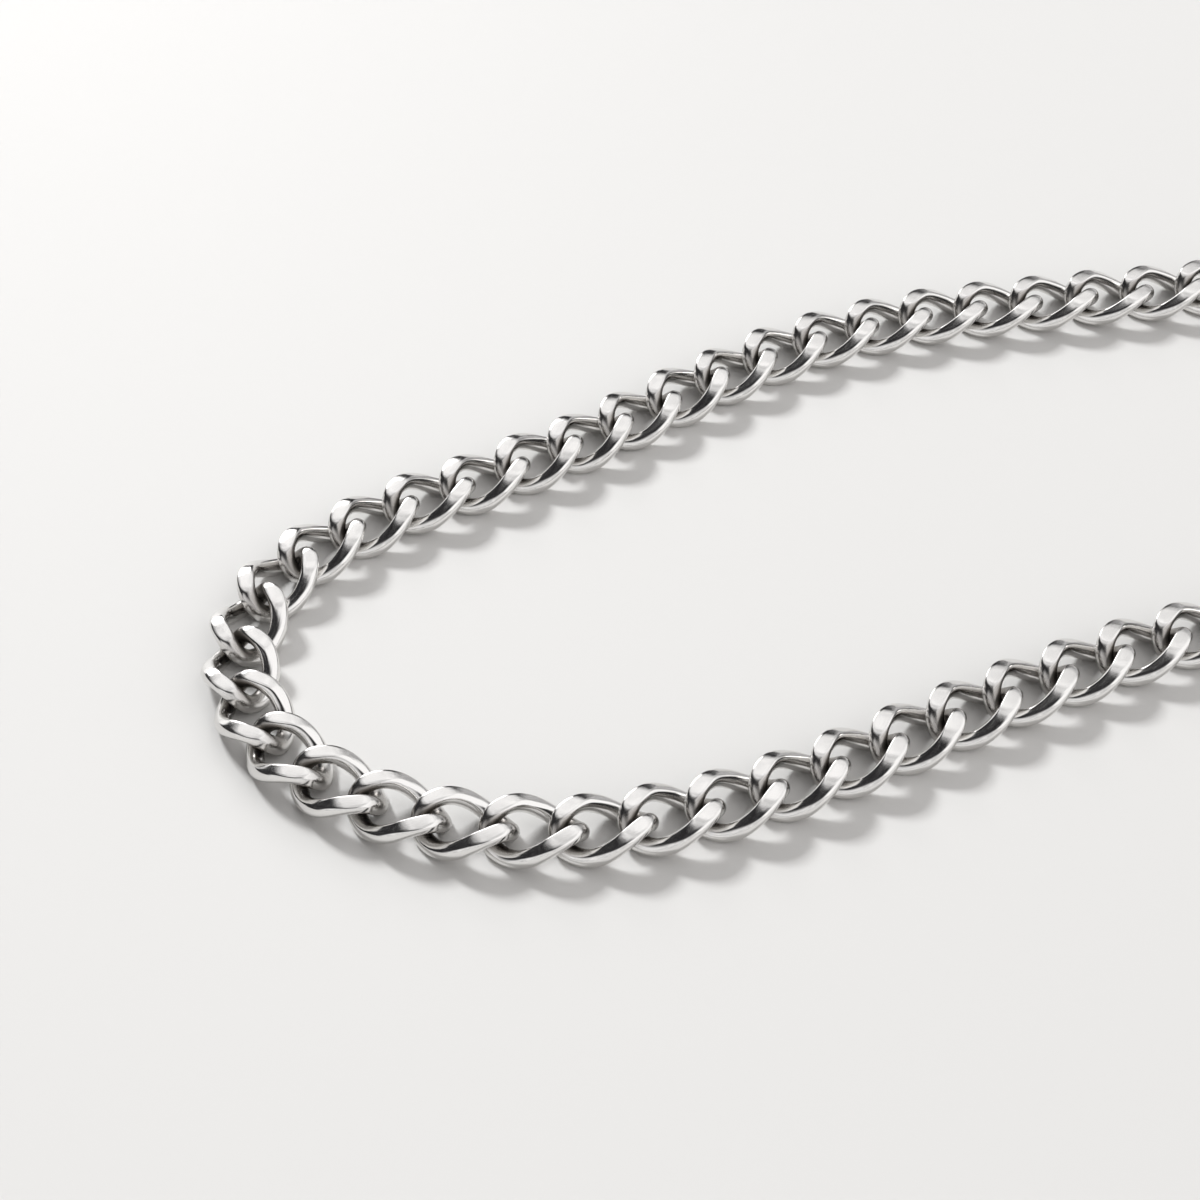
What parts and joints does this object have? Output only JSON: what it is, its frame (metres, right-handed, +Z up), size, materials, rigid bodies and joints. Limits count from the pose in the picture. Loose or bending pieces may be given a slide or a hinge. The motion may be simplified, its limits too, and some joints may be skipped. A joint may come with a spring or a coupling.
{
  "type": "curb chain necklace",
  "caption": "Closed necklace of flat interlocking curb links, twisted ovals of thick polished wire ground flat above and below, lying in a loose loop with a lobster clasp.",
  "frame": {"origin": "centre of the closed loop in plan, on the surface that the chain lies on", "axes": "+X along the long way of the lying loop, towards its hidden right end; +Y away from the viewer, towards the far strand and the clasp; +Z up, out of the surface"},
  "size_m": [0.1953, 0.1046, 0.0044],
  "materials": {
    "polished_steel": "polished bright, with fine hairline scratches on the ground flats"
  },
  "bodies": {
    "root": {"chain_right": "polished_steel", "chain_left": "polished_steel", "lobster_clasp": "polished_steel"}
  },
  "joints": []
}
